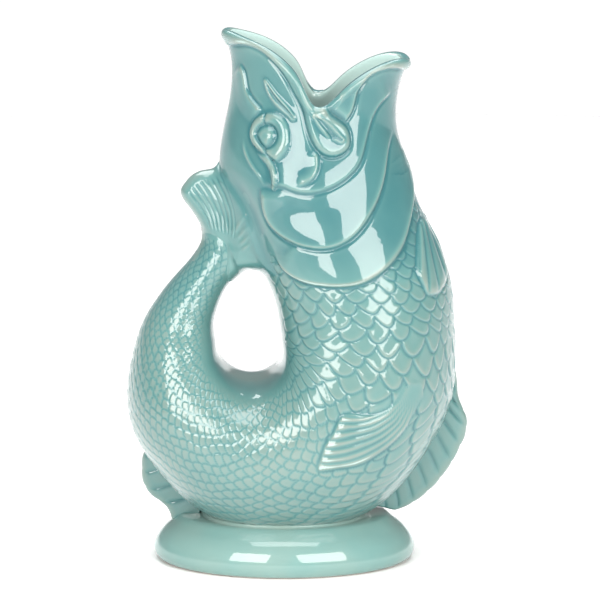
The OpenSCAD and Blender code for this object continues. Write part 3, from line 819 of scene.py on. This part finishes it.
def cut_piece(name, number, nodes, slot):
    i, j = np.nonzero(label == number)
    used, flat = np.unique(cell_quads(i, j, len(outer), AROUND), return_inverse=True)
    top = flat.reshape(-1, 4)
    points, n = outer.reshape(-1, 3)[used], normals.reshape(-1, 3)[used]
    free = deep_inside.ravel()[used]
    under = np.arange(len(used))
    under[free] = len(used) + np.arange(free.sum())
    sunk = np.arange(len(used) + free.sum()) >= len(used)
    bottom, tris = split_beside(under[top][:, ::-1], sunk)
    p = pool_and_painted_light.ravel()[used]
    new_piece(name, np.concatenate([points, points[free] - n[free] * PLATE]),
              np.concatenate([top, bottom]), tris, nodes, slot,
              np.concatenate([n, -n[free]]), np.concatenate([p, p[free]]))


for number, (part, slot, _) in enumerate(PARTS, 1):
    for left, hand in enumerate(("right", "left")):
        cut_piece(f"{hand}_{part}_glazed", number * 2 + left, [f"{hand}_{part}"], slot)

quads = band_faces(LIP_END + 1, AROUND, True)
new_piece("rolled_lip", outer[:LIP_END + 1].reshape(-1, 3), quads, [], ["mouth_lip"], "glaze_lip",
          normals[:LIP_END + 1].reshape(-1, 3), pool_and_painted_light[:LIP_END + 1].ravel())
# The head's inner wall is painted pale towards the mouth: painted light
sleeve_piece("head_glazed", LIP_END, SEAM, inner_head, ["head_shell"], "glaze_body", 1.4)
sleeve_piece("upper_belly_scaled", SEAM, SPLIT, inner_run(seam_way, split_way, INNER_BELLY),
             ["belly_shell"], "glaze_scales")
sleeve_piece("lower_belly_scaled", SPLIT, BELLY_LAST,
             inner_run(split_way, belly_way, INNER_BELLY), ["belly_shell"], "glaze_scales")
plug_way = float(way_of_row(TAIL_END - 1))
tail_inner = inner_run(belly_way, plug_way, INNER_TAIL)[::-1, ::2]
tail_outer = outer[BELLY_LAST:, ::2]
tail_normals = np.concatenate([-grid_normals(tail_inner), normals[BELLY_LAST:, ::2]])
tail_pool_and_painted_shade = np.concatenate([np.zeros(tail_inner.shape[:2]), pool_and_painted_light[BELLY_LAST:, ::2]])
capped_piece("tail_scaled", np.concatenate([tail_inner, tail_outer]), tail_normals, tail_pool_and_painted_shade,
             ["tail_handle"], "glaze_scales")

# The foot, with a small fillet where the body stands on it
FOOT_PROFILE = [(0, 4), (20, 4), (40, 4), (44.6, 3.8), (47.4, 2.2), (49, 0.5), (50.4, 0), (53, 0),
                (56.4, 0.05), (58.6, 0.6), (60.2, 1.9), (61.2, 3.8), (61.4, 5.8), (60.9, 8.2),
                (59.6, 10.9), (57.6, 13.6), (55.1, 16.1), (52.4, 18.2)]
FOOT_AROUND, BODY_MEETS = 320, 22.6
foot_angle = np.linspace(0, 2 * math.pi, FOOT_AROUND, endpoint=False)
squash = FOOT_W / FOOT_L
crossing = []
for column in range(AROUND):
    z = surface[SEAM:, column, 2] - BODY_MEETS
    for i in np.nonzero((z[:-1] > 0) != (z[1:] > 0))[0]:
        share = z[i] / (z[i] - z[i + 1])
        crossing.append(surface[SEAM + i, column] * (1 - share)
                        + surface[SEAM + i + 1, column] * share)
cross_x, cross_y, _ = np.array(crossing).T
cross_x, cross_y = cross_x - FOOT_CENTRE, cross_y / squash
cross_angle = np.arctan2(cross_y, cross_x) % (2 * math.pi)
order = np.argsort(cross_angle)
body_reach = np.interp(foot_angle, cross_angle[order], np.hypot(cross_x, cross_y)[order],
                       period=2 * math.pi)
# From the profile's end over a shelf and a fillet to just under the body's surface
shelf = np.maximum(body_reach + 1.7, 47.5)
foot_rows = [(np.full(FOOT_AROUND, reach), max(z, 0.0))
             for reach, z in smooth_line(FOOT_PROFILE, 90)[1:]]
foot_rows += [(np.maximum(shelf, 50.6), 19.6), (np.maximum(shelf, 49.2), 20.7),
              (shelf + 0.3, 21.5), (np.minimum(shelf, body_reach + 1.5), 21.75)]
foot_rows += [(body_reach + off, z) for off, z in ((0.8, 22.0), (0.25, BODY_MEETS), (-0.3, 23.6),
                                                   (-3, 22.5), (-8, 21))]
foot_rings = np.array([np.stack([FOOT_CENTRE + reach * np.cos(foot_angle),
                                 reach * squash * np.sin(foot_angle),
                                 np.full(FOOT_AROUND, z)], -1) for reach, z in foot_rows[::-1]])
FOOT_POOL, FILLET_PAINTED_HIGHLIGHT = -0.3, -0.55
foot_pool_and_painted_light = np.full(foot_rings.shape[:2], FOOT_POOL)
# Painted highlight: a pale line along the fillet where the body stands on the foot
foot_pool_and_painted_light[2:6] = FILLET_PAINTED_HIGHLIGHT
capped_piece("oval_foot", foot_rings, None, foot_pool_and_painted_light, ["foot"], "glaze_foot")


# The fins that stand out of the outline: sheets with rays on both sides

def sheet_piece(name, plan, half, ray_pool_and_painted_shade, nodes, slot):
    """plan has the points (x, z) and half the half thickness, which is 0 on the border."""
    rows, columns = half.shape
    border = np.ones(half.shape, bool)
    border[1:-1, 1:-1] = False
    half = np.where(border, 0, half)
    front = np.stack([plan[..., 0], -half, plan[..., 1]], -1).reshape(-1, 3)
    index = np.arange(rows * columns).reshape(rows, columns)
    back = index.copy()
    back[~border] = rows * columns + np.arange((~border).sum())
    points = np.concatenate([front, (front * [1, -1, 1])[~border.ravel()]])
    a, b, c, d = index[:-1, :-1], index[1:, :-1], index[1:, 1:], index[:-1, 1:]
    front_quads = np.stack([a, b, c, d], -1).reshape(-1, 4)
    e = plan[rows // 2 + 1, columns // 2] - plan[rows // 2, columns // 2]
    g = plan[rows // 2, columns // 2 + 1] - plan[rows // 2, columns // 2]
    if e[0] * g[1] - e[1] * g[0] < 0:
        front_quads = front_quads[:, ::-1]
    back_quads = back.ravel()[front_quads][:, ::-1]
    p = np.concatenate([ray_pool_and_painted_shade.ravel(), ray_pool_and_painted_shade[~border]])
    new_piece(name, points, np.concatenate([front_quads, back_quads]), [], nodes, slot, None, p)


def rounded(distance, radius):
    return np.sqrt(np.clip(1 - (1 - np.clip(distance / radius, 0, 1)) ** 2, 0, 1))


def keel_fin(name, base, rim, nodes, count, root_half, rim_half, wave, slant, depth):
    """A fin between two lines, with count rays that wave and slant, thick at its root."""
    u = np.linspace(0, 1, 260)
    v = 1 - np.linspace(1, 0, 60) ** 1.6
    base_line, rim_line = smooth_line(base, len(u)), smooth_line(rim, len(u))
    phase = count * u + 0.12 * np.sin(5 * u)
    scallop = 1 - 0.02 * (1 - np.abs(np.sin(math.pi * (phase - count * slant)))) ** 1.5
    uu, vv = np.meshgrid(u, v, indexing="ij")
    out = (vv * scallop[:, None])[..., None]
    plan = base_line[:, None] + (rim_line - base_line)[:, None] * out
    height = np.linalg.norm(rim_line - base_line, axis=1)[:, None]
    length = way_along(rim_line)[-1]
    ray_phase = phase[:, None] + wave * np.sin(6 * vv) - count * slant * vv
    ray = 1 - (1 - np.abs(np.sin(math.pi * ray_phase))) ** 2
    half = root_half + (rim_half - root_half) * vv ** 0.8
    half = half - depth * (1 - ray) * ease(0.1, 0.4, vv) * ease(1, 0.65, vv)
    half = half * rounded((1 - vv) * height, 1.6) * rounded(np.minimum(uu, 1 - uu) * length, 1.6)
    p = 0.1 + (0.5 - 0.7 * ray) * ease(1, 0.6, vv) - 0.6 * ease(0.7, 1.0, vv)
    sheet_piece(name, plan, half, p, nodes, "glaze_fins")


keel_fin("belly_fin_rayed",
         [(66, 101), (67.5, 93), (68, 84), (66, 75), (62.5, 66), (57.5, 55.5), (51, 46),
          (43.5, 37), (36.5, 25)],
         [(72.6, 101), (73.9, 92), (74.9, 84), (75.9, 76), (78.2, 70.5), (79.7, 65.5),
          (79.3, 60.5), (77.9, 56), (75.7, 51.4), (73.3, 46.5), (70.2, 41.7), (66.7, 36.9),
          (62.1, 32), (56.7, 27.5), (51, 24.2), (46, 22.3)],
         ["belly_fin"], count=11, root_half=5.5, rim_half=1.9, wave=0.03, slant=0.16, depth=0.75)
keel_fin("rear_fin_rayed",
         [(-66, 56), (-62, 48), (-58, 41), (-53, 35), (-49, 30), (-46, 25), (-46, 19)],
         [(-71.4, 54), (-73.2, 47), (-73.4, 41), (-72.9, 36.5), (-71.4, 33), (-68.2, 29.2),
          (-64.4, 26.4), (-61.2, 23.2), (-60.2, 20.4), (-59.2, 17.5)],
         ["rear_fin"], count=5, root_half=4.4, rim_half=2.2, wave=0.12, slant=-0.1, depth=0.5)

# The tail fin grows out of the tail's end and lies against the neck. It is one sheet over a
# patch seen from the side. Its half thickness comes from the tail, its own edge and the neck
LEFT_EDGE = [(-49, 143), (-46.3, 147.3), (-44.9, 151), (-44.5, 154), (-44.8, 157), (-45.8, 160.2),
             (-47.6, 163.4), (-50.3, 167.3), (-52.8, 170.7), (-54.1, 173.6)]
TOP_EDGE = [(-54.1, 173.6), (-54.1, 175.4), (-52.6, 178.1), (-50.3, 180.9), (-47.4, 183.1),
            (-44.5, 184.3), (-41.6, 184.8), (-38.9, 185.6), (-36.6, 188.2), (-34.4, 191.4),
            (-28, 194)]
INNER_EDGE = [(-5, 132), (-7, 143), (-11, 156), (-15.5, 167), (-21, 178), (-28, 194)]
BASE_EDGE = [(-49, 143), (-41.5, 139.5), (-35, 135.5), (-30.2, 133), (-27, 135.1), (-24.1, 137.2),
             (-20.8, 137.8), (-17.8, 137.2), (-14.9, 134.6), (-12.4, 130.8), (-5, 132)]
ARCH = [(-33.5, 127.5), (-30.4, 131.8), *BASE_EDGE[4:10], (-11, 127.5)]
FIRST_RAY = [(-41.4, 152), (-42, 158), (-44.6, 164.5), (-48.6, 170), (-52, 174), (-56, 178)]
LAST_RAY = [(-30.2, 150), (-29, 157), (-28.6, 164), (-29.8, 171), (-32.6, 178.5), (-37, 186),
            (-41, 192)]
SHORT_RAYS = [[(-29.4, 157.5), (-24.6, 166.6)], [(-27.6, 155.3), (-23, 161.7)],
              [(-26.6, 152.4), (-22.2, 157.6)], [(-25.9, 149.8), (-21.8, 153.6)]]
LONG_RAYS = 8


def section_half(section, t):
    """Half the width of a section at t, from -1 at its inner point to 1 at its outer one."""
    square = np.where(t < 0, section[..., 5], 2.0)
    return section[..., 4] * np.clip(1 - np.abs(t) ** square, 0, 1) ** (1 / square)


def neck_half(x, z):
    section = section_at(way_of_height(z))
    inner_x, outer_x = section[..., 0], section[..., 2]
    return section_half(section, (2 * x - outer_x - inner_x) / (outer_x - inner_x))


def tail_half(x, z, first, last):
    """Half the tail's width at points of the side view, and the row of the section through each."""
    rows = np.linspace(first, last, 140)
    found = section_at(way_of_row(rows))
    inner, run = found[:, 0:2], found[:, 2:4] - found[:, 0:2]
    length = np.linalg.norm(run, axis=1)
    px, pz = x.reshape(-1, 1) - inner[:, 0], z.reshape(-1, 1) - inner[:, 1]
    off = np.abs(px * run[:, 1] - pz * run[:, 0]) / length
    t = 2 * (px * run[:, 0] + pz * run[:, 1]) / length ** 2 - 1
    k = np.argmin(off + 1e3 * (np.abs(t) > 1.04), axis=1)
    i = np.arange(len(k))
    half = np.where(off[i, k] < 0.6, section_half(found[k], t[i, k]), 0)
    return half.reshape(x.shape), rows[k].reshape(x.shape)


def smooth_max(a, b, reach):
    reach = reach * ease(0, 8, np.maximum(a, b)) + 1e-3
    return np.maximum(a, b) + np.maximum(reach - np.abs(a - b), 0) ** 2 / (4 * reach)


def bow(points, count, density):
    """Points of a smooth line, closer together at its end where density is over 1."""
    line = smooth_line(points, 800)
    share = 1 - np.linspace(1, 0, count) ** density
    places = np.linspace(0, 1, len(line))
    return np.stack([np.interp(share, places, line[:, k]) for k in (0, 1)], -1)


def mix(a, b, share):
    return a * (1 - share)[..., None] + b * share[..., None]


ACROSS, UPWARDS, DENSITY = 250, 176, 1.3
u, v = np.linspace(0, 1, ACROSS) ** DENSITY, 1 - np.linspace(1, 0, UPWARDS) ** DENSITY
uu, vv = np.meshgrid(u, v, indexing="ij")
left_line, right_line = bow(LEFT_EDGE, UPWARDS, DENSITY), bow(INNER_EDGE, UPWARDS, DENSITY)
base_line = bow(BASE_EDGE[::-1], ACROSS, DENSITY)[::-1]
tip_line = bow(TOP_EDGE[::-1], ACROSS, DENSITY)[::-1]
corners = mix(mix(left_line[0], right_line[0], uu), mix(left_line[-1], right_line[-1], uu), vv)
plan = (mix(left_line[None], right_line[None], uu)
        + mix(base_line[:, None], tip_line[:, None], vv) - corners)
fin_x, fin_z = plan[..., 0], plan[..., 1]

rim_line = np.concatenate([[(-62, 129), (-55, 136)], LEFT_EDGE, TOP_EDGE[1:-1]])
from_rim = np.abs(beside(rim_line, fin_x, fin_z)[0])
from_arch = np.maximum(beside(ARCH, fin_x, fin_z)[0], 0)
past_neck, neck_way = beside(NECK_LINE, fin_x, fin_z)
left_of_neck = -past_neck
past_scales = beside(SCALES_END, fin_x, fin_z)[0]

# Half the thickness and the roundness of the edge, by the way up from the tail's end
up = (fin_z - 145) * 0.95 - (fin_x + 35) * 0.3
build = spline([-15, 0, 6, 14, 22, 29, 35, 41, 50],
               [[13.6, 13.2], [13.0, 12.6], [12.3, 11], [9.9, 7.4], [7.5, 5.5], [6.4, 4.6],
                [5.6, 3.8], [4.8, 3.2], [4.2, 3]])(up)
thickness = build[..., 0] + 0.2 * np.minimum(from_rim, 18)
blade = thickness * rounded(from_rim, build[..., 1])
tail, tail_row = tail_half(fin_x, fin_z, 25, 29.6)

# The round tail passes into the blade, the blade hollows out towards the neck, and a bridge
# fills the corner above the finger gap
past_arch = np.maximum(fin_x + 32, 0)
to_blade = ease(-8, 2, up + 0.9 * past_arch)
to_blade = to_blade * np.where(tail > 0, ease(28.3, 29.1, tail_row + 0.2 * past_arch), 1)
body = tail * (1 - to_blade) + blade * to_blade
dent = 1.35 * NECK_DENT * peak(1.4 * left_of_neck, NECK_DENT_HALF) * faded(neck_way, 0.3, 0.4)
neck_points = smooth_line(NECK_LINE, 60)
groove_half = np.interp(neck_way, np.linspace(0, 1, 60),
                        neck_half(neck_points[:, 0], neck_points[:, 1]))
root = np.maximum(groove_half - 1.0 - thickness, 0) * np.clip(1 - left_of_neck / 15, 0, 1) ** 1.6
body = body + root * ease(0, 7, from_rim)
body = body - 4.5 * ease(4.5, -1, left_of_neck)
web = neck_half(fin_x, fin_z) - dent - 0.7 + 1.2 * ease(0.5, 8, left_of_neck)
bridge = 13.5 * ease(162, 148, fin_z) * ease(-37, -31, fin_x)
body = smooth_max(body, bridge, 7.0)
half = smooth_max(body, web * ease(0, 4, web), 6.0)

# Long rays on the blade, and short ridges where it meets the neck
first_ray, last_ray = beside(FIRST_RAY, fin_x, fin_z)[0], beside(LAST_RAY, fin_x, fin_z)[0]
rays_width = last_ray - first_ray
ray_phase = np.clip(-first_ray / np.where(rays_width > 0.5, rays_width, 0.5), -0.06, 1.06)
ray = np.abs(np.sin(math.pi * LONG_RAYS * ray_phase)) ** 1.1
in_rays = (ease(1.0, 4.5, past_scales) * ease(2.2, 5.5, from_rim)
           * ease(-0.06, 0.03, ray_phase) * ease(1.06, 0.97, ray_phase))
swell = (0.85 - 0.55 * ease(8, 26, up)) * in_rays
short = np.zeros(fin_x.shape)
for (x0, z0), (x1, z1) in SHORT_RAYS:
    dx, dz = x1 - x0, z1 - z0
    t = np.clip(((fin_x - x0) * dx + (fin_z - z0) * dz) / (dx * dx + dz * dz), 0, 1)
    away = np.hypot(fin_x - x0 - t * dx, fin_z - z0 - t * dz)
    short = np.maximum(short, peak(away, 0.9) * np.sin(math.pi * (0.04 + 0.92 * t)))
half = half + (ray - 0.75) * swell + 0.7 * short
half = half - 1.3 + 1.4 * ease(-3.5, 3.0, past_scales)
half = np.maximum(half, 0.05) * rounded(from_arch, 7.5)
tail_pool_and_painted_shade = (0.55 - 0.75 * ray) * in_rays - 0.4 * ease(4, 0.5, from_rim) - 0.4 * short
# Painted shade: darker along the valley where the fin meets the neck
tail_pool_and_painted_shade = np.clip(tail_pool_and_painted_shade + 0.55 * peak(left_of_neck - 1, 5.0), -1, 1)
sheet_piece("tail_fin_rayed", plan, half, tail_pool_and_painted_shade, ["tail_fin", "tail_bridge"], "glaze_fins")

# The camera: the photo's view, from a distance in metres, down to a height on the axis
VIEW_TILT, VIEW_DISTANCE, VIEW_HEIGHT = math.radians(11), 1.7, 0.122
PHOTO_PX, PX_PER_MM, SENSOR = 600, 2.144, 36
SHIFT_PX = 2.5
camera_data = bpy.data.cameras.new("camera")
camera_data.sensor_width = SENSOR
camera_data.lens = PX_PER_MM * VIEW_DISTANCE / MM / PHOTO_PX * SENSOR
camera_data.shift_x = camera_data.shift_y = SHIFT_PX / PHOTO_PX
camera_data.clip_end = 20
camera = add_object("camera", camera_data)
camera.location = (0, -VIEW_DISTANCE * math.cos(VIEW_TILT),
                   VIEW_HEIGHT + VIEW_DISTANCE * math.sin(VIEW_TILT))
camera.rotation_euler = (math.radians(90) - VIEW_TILT, 0, 0)
bpy.context.scene.camera = camera

# The floor: a round white sheet
FLOOR_RADIUS, FLOOR_SIDES, FLOOR_WHITE = 1.5, 96, (0.97, 0.97, 0.97, 1)
floor_turns = [2 * math.pi * k / FLOOR_SIDES for k in range(FLOOR_SIDES)]
floor_mesh = bpy.data.meshes.new("floor")
floor_mesh.from_pydata([(FLOOR_RADIUS * math.cos(t), FLOOR_RADIUS * math.sin(t), 0)
                        for t in floor_turns], [], [list(range(FLOOR_SIDES))])
floor = add_object("floor", floor_mesh)
paint = bpy.data.materials.new("pale_floor")
paint.use_nodes = True
paint.node_tree.nodes["Principled BSDF"].inputs["Base Color"].default_value = FLOOR_WHITE
paint.node_tree.nodes["Principled BSDF"].inputs["Roughness"].default_value = 0.9
floor_mesh.materials.append(paint)

# The sky: white at and below the horizon, grey overhead
SKY_EDGE, SKY_TOP, SKY_STRENGTH = 0.08, 0.25, 1.05
world = bpy.data.worlds.new("studio")
world.use_nodes = True
sky = world.node_tree
ray_place = sky.nodes.new("ShaderNodeTexCoord")
ray_parts = add_node(sky, "ShaderNodeSeparateXYZ", {}, {"Vector": ray_place.outputs["Generated"]})
sky_ramp = add_node(sky, "ShaderNodeValToRGB", {}, {"Fac": ray_parts.outputs["Z"]})
sky_ramp.color_ramp.interpolation = "EASE"
horizon, top = sky_ramp.color_ramp.elements
horizon.position, top.position = 0.0, SKY_EDGE
horizon.color, top.color = (1, 1, 1, 1), (SKY_TOP, SKY_TOP, SKY_TOP, 1)
sky.links.new(sky_ramp.outputs["Color"], sky.nodes["Background"].inputs["Color"])
sky.nodes["Background"].inputs["Strength"].default_value = SKY_STRENGTH
bpy.context.scene.world = world
bpy.context.scene.view_settings.view_transform = "Standard"

# The lights: two windows in front, one light overhead and two weak ones behind
AIM_HEIGHT = 0.12
WINDOW_TINT = (1, 0.93, 0.89)


def softbox(name, azimuth, elevation, distance, size_x, size_y, power, tint=(1, 1, 1)):
    """An area light that faces the jug's middle. Azimuth 0 is the camera's side."""
    light = bpy.data.lights.new(name, "AREA")
    light.shape = "RECTANGLE"
    light.size, light.size_y, light.energy, light.color = size_x, size_y, power, tint
    a, e = math.radians(azimuth), math.radians(elevation)
    lamp = add_object(name, light)
    lamp.location = (distance * math.sin(a) * math.cos(e), -distance * math.cos(a) * math.cos(e),
                     AIM_HEIGHT + distance * math.sin(e))
    lamp.rotation_euler = (math.radians(90) - e, 0, a)


softbox("left_window", -24.5, 22, 1.6, 0.74, 0.76, 16.5, WINDOW_TINT)
softbox("right_window", 27, 22, 1.6, 0.92, 0.76, 19, WINDOW_TINT)
softbox("overhead", 0, 75, 1.8, 1.2, 1.2, 20)
softbox("back_left", -150, 60, 2.0, 0.9, 1.2, 17)
softbox("back_right", 150, 60, 2.0, 0.9, 1.2, 17)
